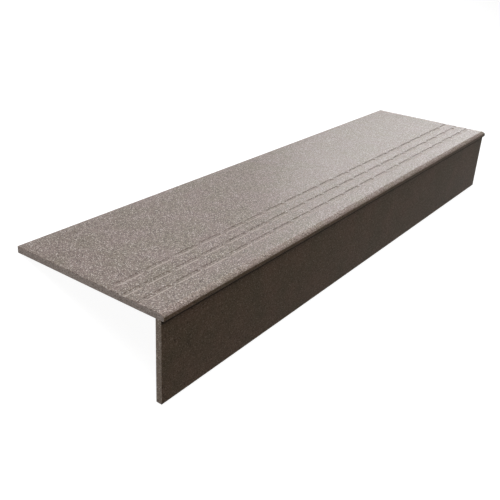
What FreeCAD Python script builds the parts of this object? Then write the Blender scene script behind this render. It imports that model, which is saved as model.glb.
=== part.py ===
"""Stair tread of porcelain stoneware: a flat slab with a bevelled nose and dashed
anti-slip recesses, and a riser slab butted up under the nose.

Millimetres. The section is drawn as the step is used, Y from the nose tip to
the back and Z up from the tread's top face, and runs along X. The finished
pair is then tilted until it stands by itself on a level floor, on the riser's
lower back edge and the tread's lower back edge, with the origin on the floor
below the middle.
"""
import math
import os

import FreeCAD
import Part

# Driving sizes of the tread slab
length = 1200.0
tread_depth = 300.0
tread_thickness = 11.0
top_arris = 0.6

# Bevelled nose: how far back it starts, how low its tip is, how softly it leaves the top and turns the tip,
# and the round at the foot of its upright front
nose_run = 10.0
nose_tip_drop = 5.0
nose_bend = 4.0
tip_bend = 2.0
under_round = 2.0

# Riser slab, and how far it stands back from the nose tip
riser_thickness = 10.0
riser_setback = 5.0
overall_height = 145.0

# Dashed anti-slip recesses; the slab is cut from a longer plank, so their pattern is off its middle
row_count = 3
first_row = 46.5
row_pitch = 28.6
dash_pitch = 60.0
dash_gap = 8.0
dash_width = 10.0
dash_depth = 1.1
back_wall = 1.0
front_ramp = 4.5
pattern_shift = 8.5

# Derived levels and planes
half_length = length / 2
riser_back = riser_setback + riser_thickness
dash_length = dash_pitch - dash_gap
round_share = 4.0 / 3.0 * (math.sqrt(2.0) - 1.0)

os.makedirs("parts", exist_ok=True)


def at(y, z):
    """Point of the section, placed at the slab's left end."""
    return FreeCAD.Vector(-half_length, y, z)


def run(points):
    """Straight edges through the section points."""
    return [Part.LineSegment(at(*a), at(*b)).toShape() for a, b in zip(points, points[1:])]


def turned(start, corner, end, first_share=round_share, last_share=round_share):
    """Curve from start to end, tangent to the sides that meet at corner. The shares are how far its two
    handles reach to the corner: small ones make it a bevel, the usual ones a quarter round."""
    def towards(a, share):
        return (a[0] + share * (corner[0] - a[0]), a[1] + share * (corner[1] - a[1]))

    curve = Part.BezierCurve()
    curve.setPoles([at(*start), at(*towards(start, first_share)), at(*towards(end, last_share)), at(*end)])
    return curve.toShape()


def along_length(edges):
    """Solid swept along the length from a closed section."""
    face = Part.Face(Part.Wire(edges))
    return face.extrude(FreeCAD.Vector(length, 0, 0))


def slot_outline(half_width, straight, y, z):
    """Slot with round ends, its straight sides along X and its middle line at y, z."""
    h = straight / 2
    corners = [(-h, -half_width), (h, -half_width), (h, half_width), (-h, half_width)]
    p = [FreeCAD.Vector(a, y + b, z) for a, b in corners]
    right = FreeCAD.Vector(h + half_width, y, z)
    left = FreeCAD.Vector(-h - half_width, y, z)
    return Part.Wire([
        Part.LineSegment(p[0], p[1]).toShape(),
        Part.Arc(p[1], right, p[2]).toShape(),
        Part.LineSegment(p[2], p[3]).toShape(),
        Part.Arc(p[3], left, p[0]).toShape(),
    ])


def dash_cutter():
    """One recess: flat floor, steep wall behind, long ramp in front, open above the top face. Its slot
    shrinks and moves back evenly from well above the top face down to the floor."""
    straight = dash_length - dash_width
    shrink = (front_ramp + back_wall) / 2
    move = (front_ramp - back_wall) / 2
    floor = slot_outline(dash_width / 2 - shrink, straight, move, -dash_depth)
    mouth = slot_outline(dash_width / 2 + shrink, straight, -move, dash_depth)
    return Part.makeLoft([floor, mouth], True, True)


def dash_centres(row):
    """Middles of a row's dashes; a gap falls at the pattern's middle in even rows, a dash in odd ones."""
    stagger = 0.5 if row % 2 == 0 else 0.0
    reach = math.ceil((half_length + abs(pattern_shift)) / dash_pitch) + 1
    centres = [pattern_shift + (k + stagger) * dash_pitch for k in range(-reach, reach + 1)]
    return [x for x in centres if abs(x) - dash_length / 2 < half_length - dash_width]


# Tread slab
tip = (0, -nose_tip_drop)
nose_top = (nose_run, 0)
front_foot = (0, under_round - tread_thickness)
nose_foot = (under_round, -tread_thickness)
over_nose = turned(nose_top, (0, 0), tip, nose_bend / nose_run, tip_bend / nose_tip_drop)
under_nose = turned(front_foot, (0, -tread_thickness), nose_foot)

# The underside is two faces in one plane: the seat that the riser is glued to, and the bed behind it
rest_of_outline = run([
    nose_foot,
    (riser_back, -tread_thickness),
    (tread_depth, -tread_thickness),
    (tread_depth, 0),
    nose_top,
])
tread = along_length([over_nose] + run([tip, front_foot]) + [under_nose] + rest_of_outline)


def is_arris(edge):
    """True for the top face's back edge and for the top and nose edges at both ends."""
    box = edge.BoundBox
    on_top = abs(box.ZMin) < 1e-6
    across = box.XLength < 1e-6
    on_nose = box.YMin < 1e-6
    on_back = box.YMin > nose_run + 1e-6
    return across and (on_top or on_nose) or on_top and on_back


tread = tread.makeFillet(top_arris, [e for e in tread.Edges if is_arris(e)])

cutter = dash_cutter()
dashes = []
for row in range(row_count):
    for x in dash_centres(row):
        dash = cutter.copy()
        dash.translate(FreeCAD.Vector(x, first_row + row * row_pitch, 0))
        dashes.append(dash)
tread = tread.cut(dashes)

# Riser slab, its top edge glued to the tread's underside
riser_height = overall_height - tread_thickness
riser = Part.makeBox(length, riser_thickness, riser_height, at(riser_setback, -overall_height))

# Tilt the pair on to its two lower back edges and set the origin on the floor
lean = math.degrees(math.atan2(overall_height - tread_thickness, tread_depth - riser_back))
pieces = {"tread_slab": tread, "riser_slab": riser}
for shape in pieces.values():
    shape.rotate(FreeCAD.Vector(0, 0, 0), FreeCAD.Vector(1, 0, 0), -lean)
corners = [v.Point for shape in pieces.values() for v in shape.Vertexes]
front = min(p.y for p in corners)
back = max(p.y for p in corners)
floor_level = min(p.z for p in corners)
for name, shape in pieces.items():
    shape.translate(FreeCAD.Vector(0, -(front + back) / 2, -floor_level))
    shape.exportStep("parts/" + name + ".step")
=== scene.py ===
import math

import bpy
import numpy as np
from mathutils import Matrix, Vector


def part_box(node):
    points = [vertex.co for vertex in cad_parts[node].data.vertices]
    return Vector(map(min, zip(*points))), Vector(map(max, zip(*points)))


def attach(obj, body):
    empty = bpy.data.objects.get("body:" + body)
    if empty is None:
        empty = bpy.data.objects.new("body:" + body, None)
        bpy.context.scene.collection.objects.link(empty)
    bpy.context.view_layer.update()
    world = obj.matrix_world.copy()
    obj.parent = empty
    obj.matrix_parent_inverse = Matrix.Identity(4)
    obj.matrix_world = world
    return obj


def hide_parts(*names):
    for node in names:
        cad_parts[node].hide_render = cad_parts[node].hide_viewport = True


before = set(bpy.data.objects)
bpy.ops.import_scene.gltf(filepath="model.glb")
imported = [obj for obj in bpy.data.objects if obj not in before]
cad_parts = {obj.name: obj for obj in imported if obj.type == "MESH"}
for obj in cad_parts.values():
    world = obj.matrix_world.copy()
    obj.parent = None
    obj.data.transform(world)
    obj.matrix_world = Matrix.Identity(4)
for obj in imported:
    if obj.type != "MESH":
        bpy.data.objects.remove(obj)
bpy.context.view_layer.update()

# Tread slab
# A pressed stoneware slab, coloured through with salt-and-pepper grain. Its front edge is ground to a
# bevelled nose, the lapped top has three rows of pressed anti-slip dashes, and the ends are plain saw cuts.
length = 1.200
tread_depth = 0.300
tread_thickness = 0.011
arris = 0.0006
nose_run = 0.0100
nose_tip_drop = 0.0050
nose_bend = 0.0040
tip_bend = 0.0020
under_round = 0.0020
overall_height = 0.145
riser_setback = 0.005
riser_thickness = 0.010
riser_back = riser_setback + riser_thickness
row_count = 3
first_row = 0.0465
row_pitch = 0.0286
dash_rows = first_row + row_pitch * np.arange(row_count)
dash_pitch = 0.060
dash_gap = 0.008
dash_width = 0.0100
dash_depth = 0.0011
dash_end = 0.0025
dash_fade = 0.0030
back_wall = 0.0010
front_ramp = 0.0045
pattern_shift = 0.0085

# The pair leans on the riser's and the tread's lower back edges, so the section is turned by this angle.
lean = math.atan2(overall_height - tread_thickness, tread_depth - riser_back)
riser_low_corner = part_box("riser_slab")[0]


def standing(x, y, z):
    """Points of the level step, Y from the nose tip and Z from the top face, turned about X by the lean
    and moved so that the riser's lower front corner meets the lowest Y of the solid riser."""
    c, s = math.cos(lean), math.sin(lean)
    y_shift = riser_low_corner.y - (riser_setback * c - overall_height * s)
    z_shift = overall_height * c + riser_back * s
    return np.stack([x, y * c + z * s + y_shift, z * c - y * s + z_shift], axis=-1)


quarter_round = 0.5523


def turned(start, corner, end, steps, first_share=quarter_round, last_share=quarter_round):
    """Cubic curve from start to end whose handles reach the given shares of the way to the corner. The
    usual shares make a quarter ellipse to within a thousandth, and smaller ones make it more of a bevel."""
    t = np.linspace(0, 1, steps)[:, None]
    start, corner, end = (np.array(p, float) for p in (start, corner, end))
    first = start + first_share * (corner - start)
    second = end + last_share * (corner - end)
    return (1 - t) ** 3 * start + 3 * t * (1 - t) ** 2 * first + 3 * t ** 2 * (1 - t) * second + t ** 3 * end


def s_curve(t):
    """Soft step from nought to one: three times the square of t less twice its cube."""
    return t * t * (3 - 2 * t)


# The rough skin of the press, whose paler colour is a painted highlight, is whole an eighth of the way down a
# ramp and wears off over its last quarter.
skin_and_highlight_start = 1 / 8
skin_and_highlight_end = 1 / 4
wall_skin_and_highlight = 0.12


def dash_sink(x, y):
    """Depth of the pressed dashes below the top face, and how much a point keeps of the skin of the press,
    whose paler colour is painted: a painted highlight on a front ramp and painted light on the shade of a
    back wall. It keeps all of it on a front ramp, a little on a back wall and none on the floor and the
    lapped face. A dash at share s of its depth is a slot with half-oval ends whose half width has shrunk,
    and whose middle line has moved back, by s times a fixed amount; the share at a point solves that
    quadratic, held between the top and the floor and eased in an S at both. The depth runs out softly over
    the last part of each dash."""
    reach = (dash_pitch - dash_gap) / 2
    half = dash_width / 2
    shrink = (front_ramp + back_wall) / 2
    move = (front_ramp - back_wall) / 2
    square = shrink ** 2 - move ** 2
    sink = np.zeros(np.broadcast(x, y).shape)
    skin_and_highlight = sink.copy()
    for row, row_y in enumerate(dash_rows):
        stagger = 0.5 if row % 2 == 0 else 0.0
        along = np.abs(((x - pattern_shift) / dash_pitch - stagger + 0.5) % 1.0 - 0.5) * dash_pitch
        beyond = np.maximum(along - reach + dash_end, 0) * half / dash_end
        over = y - row_y
        linear = half * shrink - over * move
        inside = linear ** 2 - square * (half ** 2 - beyond ** 2 - over ** 2)
        wall = np.clip((linear - np.sqrt(np.maximum(inside, 0))) / square, 0, 1)
        fade = s_curve(np.clip((reach - along) / dash_fade, 0, 1))
        sink = np.maximum(sink, dash_depth * s_curve(wall) * fade)
        # Painted light: a back wall keeps a little of the pale skin, which lightens its shade.
        kept = np.where(over < 0, 1.0, wall_skin_and_highlight) * fade
        covered = np.clip(wall / skin_and_highlight_start, 0, 1) * np.clip((1 - wall) / skin_and_highlight_end, 0, 1)
        skin_and_highlight = np.maximum(skin_and_highlight, covered * kept)
    return sink, skin_and_highlight


def top_lines():
    """Y of the lines along the top face from the back arris to the nose: wide steps on the plain part, one
    line between the rows and close ones on the two walls of each row, at shares of a wall's width."""
    wall_shares = np.array([-0.3, 0, 0.17, 0.33, 0.5, 0.67, 0.83, 1, 1.4])
    ramp_shares = np.array([-0.12, 0, 0.12, 0.25, 0.37, 0.5, 0.63, 0.75, 0.88, 1, 1.12])
    back = dash_width / 2 - back_wall * wall_shares
    front = front_ramp * ramp_shares - dash_width / 2
    rows = dash_rows[:, None] + np.concatenate([front, back])
    nearest_row, plain_steps = 0.115, 12
    behind_rows = np.linspace(tread_depth - arris, nearest_row, plain_steps)
    between_rows = dash_rows[:-1] + row_pitch / 2
    before_nose = [0.036, 0.024, 0.018]
    return np.sort(np.concatenate([behind_rows, between_rows, before_nose, rows.ravel()]))[::-1]


arris_steps = 5


def stations():
    """X of the sections along the length: close together round every dash end and at the eased ends,
    wide elsewhere."""
    gaps = int(length / dash_pitch) + 2
    gap_middles = pattern_shift + np.arange(-gaps, gaps + 1) * dash_pitch / 2
    into_dash = np.array([0, 0.0008, 0.0016, 0.0024, 0.0034, 0.0045, 0.007])
    one_side = dash_gap / 2 + into_dash
    near = np.concatenate([-one_side, [0], one_side])
    x = (gap_middles[:, None] + near).ravel()
    x = x[np.abs(x) < length / 2 - 2 * arris]
    ease = arris * (1 - np.cos(np.linspace(0, math.pi / 2, arris_steps)))
    return np.sort(np.concatenate([x, length / 2 - ease, ease - length / 2]))


# Places of the slab's finishes in its list of materials, points on its curves and bed, faces of the bevel,
# and the start of its painted shade, below nought so that its upper third has none
on_top, on_sawn, on_front, on_bevel = range(4)
nose_steps = 18
foot_steps = 7
bed_steps = 8
bevel_faces = 15
painted_bevel_shade_start = -0.54


def tread_section():
    """Closed outline of the slab as (Y, Z), round from the back arris over the top and nose and along the
    underside, with the count of points on the finished top and nose, the finish of each face round it and
    the painted shade of each point, which grows evenly over the lower two thirds of the bevel."""
    back = turned((tread_depth, -arris), (tread_depth, 0), (tread_depth - arris, 0), arris_steps)
    lines = top_lines()[1:]
    top = np.stack([lines, np.zeros(len(lines))], axis=1)
    tip = (0, -nose_tip_drop)
    over = turned((nose_run, 0), (0, 0), tip, nose_steps, nose_bend / nose_run, tip_bend / nose_tip_drop)
    foot = (under_round, -tread_thickness)
    under = turned((0, under_round - tread_thickness), (0, -tread_thickness), foot, foot_steps)
    finished = np.concatenate([back, top, over, under])
    bed_y = np.linspace(under_round, tread_depth, bed_steps)[1:]
    bed = np.stack([bed_y, np.full(len(bed_y), -tread_thickness)], axis=1)
    bevel = len(back) + len(top)
    finish = np.full(len(finished) + len(bed), on_sawn, np.int32)
    finish[:bevel] = on_top
    finish[bevel:bevel + bevel_faces] = on_bevel
    finish[bevel + bevel_faces:len(finished) - 1] = on_front
    painted_bevel_shade = np.zeros(len(finish))
    painted_bevel_shade[bevel:bevel + len(over)] = np.clip(np.linspace(painted_bevel_shade_start, 1, len(over)), 0, 1)
    return np.concatenate([finished, bed]), len(finished), finish, painted_bevel_shade


def swept(name, points):
    """Closed mesh from an array of points, sections by outline: quads round the outline between each pair
    of sections, and one flat face on each end."""
    count, around = points.shape[:2]
    i, j = np.meshgrid(np.arange(count - 1), np.arange(around), indexing="ij")
    k = (j + 1) % around
    quads = np.stack([i * around + j, i * around + k, (i + 1) * around + k, (i + 1) * around + j], axis=-1)
    last = (count - 1) * around
    ends = [list(range(around - 1, -1, -1)), list(range(last, last + around))]
    mesh = bpy.data.meshes.new(name)
    mesh.from_pydata(points.reshape(-1, 3).tolist(), [], quads.reshape(-1, 4).tolist() + ends)
    mesh.update()
    return mesh


def tread_points():
    """The outline carried along the length. Near each end the finished edge is eased: the outline moves in
    along its own normal by a quarter-round of the arris. The dashes sink the top face. With the points come
    the share at each of the press skin, pale with a painted highlight, or of the bevel's painted shade, and
    the finish of each face round the outline."""
    outline, finished, finish, painted_bevel_shade = tread_section()
    x = stations()[:, None]
    side = np.roll(outline, -1, axis=0) - np.roll(outline, 1, axis=0)
    normal = np.stack([-side[:, 1], side[:, 0]], axis=1)
    normal /= np.linalg.norm(normal, axis=1)[:, None]
    inwards = np.where(np.arange(len(outline)) < finished, 1.0, 0.0)
    to_end = np.clip(length / 2 - np.abs(x), 0, arris)
    eased = arris - np.sqrt(arris ** 2 - (arris - to_end) ** 2)
    y = outline[:, 0] + normal[:, 0] * inwards * eased
    z = outline[:, 1] + normal[:, 1] * inwards * eased
    sink, skin_and_highlight = dash_sink(x, outline[:, 0])
    level_top = outline[:, 1] == 0
    z = np.where(level_top, np.minimum(z, -sink), z)
    return standing(np.broadcast_to(x, y.shape), y, z), np.where(level_top, skin_and_highlight, painted_bevel_shade), finish


tread_grid, tread_share, around_tread = tread_points()
tread_data = swept("tread_slab_finished", tread_grid)
tread_data.attributes.new("share", "FLOAT", "POINT").data.foreach_set("value", tread_share.ravel())
tread = bpy.data.objects.new("stoneware_tread", tread_data)
bpy.context.scene.collection.objects.link(tread)


def salt_and_pepper():
    """Group for stoneware coloured through: cells of a Voronoi pattern are dark, light or ground grains by
    their random value, over a slow cloud of a second ground tone; Height is a fine pressed grain."""
    group = bpy.data.node_groups.new("salt and pepper stoneware", "ShaderNodeTree")
    for direction, kind, names in (
        ("INPUT", "NodeSocketColor", ("Ground", "Cloud", "Dark Grain", "Light Grain")),
        ("INPUT", "NodeSocketFloat", ("Grains per Metre", "Dark Share", "Light Share")),
        ("OUTPUT", "NodeSocketColor", ("Color",)),
        ("OUTPUT", "NodeSocketFloat", ("Height",)),
    ):
        for name in names:
            group.interface.new_socket(name=name, in_out=direction, socket_type=kind)
    node, link = group.nodes.new, group.links.new
    given, out = node("NodeGroupInput"), node("NodeGroupOutput")
    place = node("ShaderNodeTexCoord")

    grains = node("ShaderNodeTexVoronoi")
    link(place.outputs["Object"], grains.inputs["Vector"])
    link(given.outputs["Grains per Metre"], grains.inputs["Scale"])
    chance = node("ShaderNodeSeparateColor")
    link(grains.outputs["Color"], chance.inputs["Color"])

    cloud = node("ShaderNodeTexNoise")
    cloud.inputs["Scale"].default_value = 20.0
    cloud.inputs["Detail"].default_value = 3.0
    link(place.outputs["Object"], cloud.inputs["Vector"])
    ground = node("ShaderNodeMix")
    ground.data_type = "RGBA"
    stretched = node("ShaderNodeMapRange")
    stretched.inputs["From Min"].default_value = 0.36
    stretched.inputs["From Max"].default_value = 0.64
    link(cloud.outputs["Fac"], stretched.inputs["Value"])
    link(stretched.outputs["Result"], ground.inputs["Factor"])
    link(given.outputs["Ground"], ground.inputs["A"])
    link(given.outputs["Cloud"], ground.inputs["B"])

    dark = node("ShaderNodeMath")
    dark.operation = "LESS_THAN"
    link(chance.outputs["Red"], dark.inputs[0])
    link(given.outputs["Dark Share"], dark.inputs[1])
    light_edge = node("ShaderNodeMath")
    light_edge.operation = "SUBTRACT"
    light_edge.inputs[0].default_value = 1.0
    link(given.outputs["Light Share"], light_edge.inputs[1])
    light = node("ShaderNodeMath")
    light.operation = "GREATER_THAN"
    link(chance.outputs["Red"], light.inputs[0])
    link(light_edge.outputs[0], light.inputs[1])

    with_colour = ground.outputs["Result"]
    for mask, grain in ((dark, "Dark Grain"), (light, "Light Grain")):
        strength = node("ShaderNodeMath")
        strength.operation = "MULTIPLY"
        link(mask.outputs[0], strength.inputs[0])
        link(chance.outputs["Green"], strength.inputs[1])
        mix = node("ShaderNodeMix")
        mix.data_type = "RGBA"
        link(strength.outputs[0], mix.inputs["Factor"])
        link(with_colour, mix.inputs["A"])
        link(given.outputs[grain], mix.inputs["B"])
        with_colour = mix.outputs["Result"]
    link(with_colour, out.inputs["Color"])

    pressed = node("ShaderNodeTexNoise")
    pressed.inputs["Scale"].default_value = 520.0
    pressed.inputs["Detail"].default_value = 2.0
    link(place.outputs["Object"], pressed.inputs["Vector"])
    link(pressed.outputs["Fac"], out.inputs["Height"])
    return group


stoneware = salt_and_pepper()
grains_per_metre = 850.0


def stoneware_finish(name, ground, cloud, dark, light, dark_share, light_share, roughness, gloss, bump):
    """Principled stoneware: the grain group colours it, and its height gives a bump of the stated depth."""
    material = bpy.data.materials.new(name)
    material.use_nodes = True
    nodes, link = material.node_tree.nodes, material.node_tree.links.new
    shader = nodes["Principled BSDF"]
    shader.inputs["Roughness"].default_value = roughness
    shader.inputs["Specular IOR Level"].default_value = gloss
    grain = nodes.new("ShaderNodeGroup")
    grain.node_tree = stoneware
    colours = {"Ground": ground, "Cloud": cloud, "Dark Grain": dark, "Light Grain": light}
    for socket, colour in colours.items():
        grain.inputs[socket].default_value = (*colour, 1)
    grain.inputs["Dark Share"].default_value = dark_share
    grain.inputs["Light Share"].default_value = light_share
    grain.inputs["Grains per Metre"].default_value = grains_per_metre
    relief = nodes.new("ShaderNodeBump")
    relief.inputs["Distance"].default_value = bump
    relief.inputs["Strength"].default_value = 1.0
    link(grain.outputs["Color"], shader.inputs["Base Color"])
    link(grain.outputs["Height"], relief.inputs["Height"])
    link(relief.outputs["Normal"], shader.inputs["Normal"])
    return material


lapped_roughness = 0.34
matt_top = stoneware_finish(
    "matt salt and pepper top",
    ground=(0.232, 0.178, 0.161), cloud=(0.206, 0.169, 0.137),
    dark=(0.052, 0.038, 0.031), light=(0.60, 0.55, 0.51),
    dark_share=0.34, light_share=0.20, roughness=lapped_roughness, gloss=0.10, bump=0.00018)
sawn_end = stoneware_finish(
    "sawn stoneware end",
    ground=(0.275, 0.235, 0.218), cloud=(0.255, 0.215, 0.196),
    dark=(0.10, 0.085, 0.075), light=(0.42, 0.39, 0.36),
    dark_share=0.26, light_share=0.16, roughness=0.7, gloss=0.20, bump=0.0002)
# Painted shade: the riser's face and the nose's front get a dark brown that partly stands for the shade they
# are in and the warm light bounced onto them; the rest is the face's own tone.
satin_face_painted_shade = stoneware_finish(
    "satin brown face with painted shade",
    ground=(0.134, 0.090, 0.062), cloud=(0.107, 0.081, 0.053),
    dark=(0.040, 0.028, 0.019), light=(0.23, 0.172, 0.130),
    dark_share=0.28, light_share=0.16, roughness=0.45, gloss=0.02, bump=0.00003)
# The bevel's matt ground finish is its own; its paler tone is partly painted light, and it is darkened
# towards its tip with painted shade.
ground_bevel_lit_and_shaded = stoneware_finish(
    "ground bevel with painted light and shade",
    ground=(0.345, 0.275, 0.250), cloud=(0.312, 0.260, 0.218),
    dark=(0.07, 0.054, 0.045), light=(0.74, 0.68, 0.63),
    dark_share=0.34, light_share=0.20, roughness=0.8, gloss=0.02, bump=0.00018)


def towards(material, colour, most):
    """Mixes the material's colour towards another one, by the mesh's share at each point times the most.
    Gives the socket of the share."""
    nodes, link = material.node_tree.nodes, material.node_tree.links.new
    base = nodes["Principled BSDF"].inputs["Base Color"]
    share = nodes.new("ShaderNodeAttribute")
    share.attribute_name = "share"
    part = nodes.new("ShaderNodeMapRange")
    part.inputs["To Max"].default_value = most
    mix = nodes.new("ShaderNodeMix")
    mix.data_type = "RGBA"
    mix.inputs["B"].default_value = (*colour, 1)
    link(share.outputs["Fac"], part.inputs["Value"])
    link(part.outputs["Result"], mix.inputs["Factor"])
    link(base.links[0].from_socket, mix.inputs["A"])
    link(mix.outputs["Result"], base)
    return share.outputs["Fac"]


# The bevel is darkened towards its tip with painted shade. The ramps of the dashes keep the skin of the
# press, rougher than the lapped face round them, and paler with a painted highlight.
skin_roughness = 0.95
# Painted shade: the bevel darkens towards its tip, where its round turns away from the light.
towards(ground_bevel_lit_and_shaded, colour=(0.134, 0.094, 0.070), most=0.70)
# Painted highlight: the ramps, and a little of the back walls, are mixed towards a pale colour.
skin_and_highlight_share = towards(matt_top, colour=(0.455, 0.392, 0.356), most=0.85)
top_nodes, top_link = matt_top.node_tree.nodes, matt_top.node_tree.links.new
rougher = top_nodes.new("ShaderNodeMapRange")
rougher.inputs["To Min"].default_value = lapped_roughness
rougher.inputs["To Max"].default_value = skin_roughness
top_link(skin_and_highlight_share, rougher.inputs["Value"])
top_link(rougher.outputs["Result"], top_nodes["Principled BSDF"].inputs["Roughness"])

for finish in (matt_top, sawn_end, satin_face_painted_shade, ground_bevel_lit_and_shaded):
    tread_data.materials.append(finish)
sharp_edge = math.radians(40)
tread_finish = np.append(np.tile(around_tread, len(tread_grid) - 1), [on_sawn, on_sawn])
tread_data.polygons.foreach_set("material_index", tread_finish.astype(np.int32))
tread_data.polygons.foreach_set("use_smooth", np.ones(len(tread_data.polygons), bool))
tread_data.set_sharp_from_angle(angle=sharp_edge)
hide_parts("tread_slab")
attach(tread, "root")

# Riser slab
# A plain slab of the same stoneware with a satin face, whose dark brown colour is partly its own tone and
# partly painted shade and painted warm floor bounce.
# Its top edge is glued under the nose, the joint and a band of painted shadow below the nose are dark, and
# its long edges are slightly eased.
riser_ease = 0.0012
riser_edge = 0.0002
nose_shadow_reach = 0.0060
corner_steps = 5
riser_stations = 61
on_face, on_edge, on_joint_and_shadow = range(3)


def riser_section():
    """Closed outline as (Y, Z): a rectangle whose four corners are quarter rounds, the largest at the
    top of the front face, and a last point where the painted shadow under the nose ends on that face."""
    low, high = -overall_height, -tread_thickness
    corners = []
    for y, z, dy, dz in ((riser_setback, low, 1, 1), (riser_back, low, -1, 1),
                         (riser_back, high, -1, -1), (riser_setback, high, 1, -1)):
        ease = riser_ease if (dy, dz) == (1, -1) else riser_edge
        start, end = (y, z + dz * ease), (y + dy * ease, z)
        if dy * dz < 0:
            start, end = end, start
        corners.append(turned(start, (y, z), end, corner_steps))
    return np.concatenate(corners + [[(riser_setback, high - nose_shadow_reach)]])


riser_outline = riser_section()
riser_x = np.linspace(-length / 2, length / 2, riser_stations)[:, None]
riser_shape = (len(riser_x), len(riser_outline))
riser_y, riser_z = (np.broadcast_to(riser_outline[:, axis], riser_shape) for axis in (0, 1))
riser_data = swept("riser_slab_finished", standing(np.broadcast_to(riser_x, riser_shape), riser_y, riser_z))
riser = bpy.data.objects.new("stoneware_riser", riser_data)
bpy.context.scene.collection.objects.link(riser)
sawn_riser = stoneware_finish(
    "sawn riser edge",
    ground=(0.182, 0.148, 0.122), cloud=(0.168, 0.135, 0.108),
    dark=(0.10, 0.082, 0.070), light=(0.40, 0.36, 0.32),
    dark_share=0.26, light_share=0.16, roughness=0.7, gloss=0.20, bump=0.0002)
# Painted shadow: the glued joint is dark, and the band of face below the nose gets this dark colour where the
# nose's shade falls.
joint_and_nose_shadow = stoneware_finish(
    "dark joint and painted nose shadow",
    ground=(0.060, 0.044, 0.034), cloud=(0.050, 0.038, 0.028),
    dark=(0.03, 0.022, 0.018), light=(0.09, 0.07, 0.06),
    dark_share=0.20, light_share=0.10, roughness=0.6, gloss=0.02, bump=0.00003)
for finish in (satin_face_painted_shade, sawn_riser, joint_and_nose_shadow):
    riser_data.materials.append(finish)
around_riser = np.full(len(riser_outline), on_edge, np.int32)
around_riser[-1] = on_face
# The eased top corner and the band below it take the dark joint and painted shadow.
around_riser[-1 - corner_steps:-1] = on_joint_and_shadow
riser_finish = np.append(np.tile(around_riser, len(riser_x) - 1), [on_edge, on_edge])
riser_data.polygons.foreach_set("material_index", riser_finish.astype(np.int32))
riser_data.polygons.foreach_set("use_smooth", np.ones(len(riser_data.polygons), bool))
riser_data.set_sharp_from_angle(angle=sharp_edge)
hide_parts("riser_slab")
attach(riser, "root")

# Floor, light and camera
# A plain pale floor that shows white. The key panel hangs over the near half, and weaker ones stand behind,
# low at the far end, at the near end and in front. The camera is rolled so that the leaning step looks level.
floor_half = 20.0
floor_corners = [(-floor_half, -floor_half, 0), (floor_half, -floor_half, 0),
                 (floor_half, floor_half, 0), (-floor_half, floor_half, 0)]
floor_data = bpy.data.meshes.new("floor")
floor_data.from_pydata(floor_corners, [], [(0, 1, 2, 3)])
floor = bpy.data.objects.new("floor", floor_data)
bpy.context.scene.collection.objects.link(floor)


def shown_white(node_tree):
    """One for a ray that shows the background, straight from the camera, mirrored or through glass, and
    nought for a ray that only carries light."""
    ray = node_tree.nodes.new("ShaderNodeLightPath")
    shown = ray.outputs["Is Camera Ray"]
    for kind in ("Is Glossy Ray", "Is Transmission Ray"):
        either = node_tree.nodes.new("ShaderNodeMath")
        either.operation = "MAXIMUM"
        node_tree.links.new(shown, either.inputs[0])
        node_tree.links.new(ray.outputs[kind], either.inputs[1])
        shown = either.outputs[0]
    return shown


pale = bpy.data.materials.new("pale floor")
pale.use_nodes = True
floor_nodes, floor_link = pale.node_tree.nodes, pale.node_tree.links.new
floor_shader = floor_nodes["Principled BSDF"]
floor_shader.inputs["Base Color"].default_value = (0.55, 0.50, 0.455, 1)
floor_shader.inputs["Roughness"].default_value = 0.9
floor_shader.inputs["Specular IOR Level"].default_value = 0.0
white = floor_nodes.new("ShaderNodeEmission")
white.inputs["Strength"].default_value = 0.92
shadowed = floor_nodes.new("ShaderNodeBsdfDiffuse")
shadowed.inputs["Color"].default_value = (0.28, 0.28, 0.28, 1)
added = floor_nodes.new("ShaderNodeAddShader")
choose = floor_nodes.new("ShaderNodeMixShader")
floor_link(shadowed.outputs["BSDF"], added.inputs[0])
floor_link(white.outputs["Emission"], added.inputs[1])
floor_link(shown_white(pale.node_tree), choose.inputs["Fac"])
floor_link(floor_shader.outputs["BSDF"], choose.inputs[1])
floor_link(added.outputs["Shader"], choose.inputs[2])
floor_link(choose.outputs["Shader"], floor_nodes["Material Output"].inputs["Surface"])
floor_data.materials.append(pale)

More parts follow.
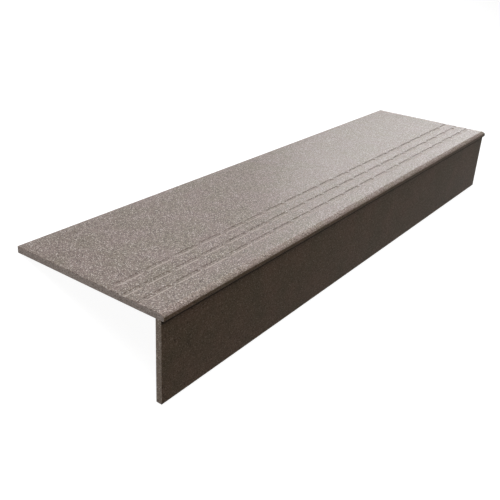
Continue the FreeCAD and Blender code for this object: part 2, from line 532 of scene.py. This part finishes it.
sky = bpy.data.worlds.new("studio")
bpy.context.scene.world = sky
sky.use_nodes = True
backdrop = sky.node_tree.nodes["Background"]
backdrop.inputs["Color"].default_value = (1, 1, 1, 1)
level = sky.node_tree.nodes.new("ShaderNodeMapRange")
level.inputs["To Min"].default_value = 0.05
level.inputs["To Max"].default_value = 1.0
sky.node_tree.links.new(shown_white(sky.node_tree), level.inputs["Value"])
sky.node_tree.links.new(level.outputs["Result"], backdrop.inputs["Strength"])


def panel(name, place, aim, width, height, power):
    """Soft rectangular lamp at a place, facing the aim."""
    lamp = bpy.data.lights.new(name, "AREA")
    lamp.shape = "RECTANGLE"
    lamp.size = width
    lamp.size_y = height
    lamp.energy = power
    holder = bpy.data.objects.new(name, lamp)
    facing = (Vector(aim) - Vector(place)).to_track_quat("-Z", "Y").to_matrix().to_4x4()
    holder.matrix_world = Matrix.Translation(place) @ facing
    bpy.context.scene.collection.objects.link(holder)


step_middle = (0, 0, 0.07)
near_half = (-0.15, -0.05, 0.10)
panel("key panel", (-0.70, 0.20, 1.60), near_half, width=1.2, height=1.0, power=18)
panel("back panel", (1.12, 1.43, 1.12), step_middle, width=1.6, height=1.0, power=22.5)
panel("far low panel", (1.92, 0.78, 0.44), step_middle, width=1.4, height=0.5, power=9)
panel("near end panel", (-1.90, 0.25, 0.57), step_middle, width=1.0, height=1.0, power=6.2)
panel("front panel", (0.80, -1.25, 1.40), step_middle, width=1.4, height=1.0, power=1.8)

camera_place = Vector((-1.1423, -0.3755, 0.7680))
camera_aim = Vector((-0.2601, -0.0338, 0.0298))
camera_roll = math.radians(29.432)
lens = bpy.data.cameras.new("camera")
lens.lens = 48.793
lens.sensor_width = 36.0
camera = bpy.data.objects.new("camera", lens)
turn = (camera_aim - camera_place).to_track_quat("-Z", "Y").to_matrix().to_4x4()
camera.matrix_world = Matrix.Translation(camera_place) @ turn @ Matrix.Rotation(camera_roll, 4, "Z")
bpy.context.scene.collection.objects.link(camera)
bpy.context.scene.camera = camera
bpy.context.scene.view_settings.view_transform = "Standard"

bpy.context.view_layer.update()
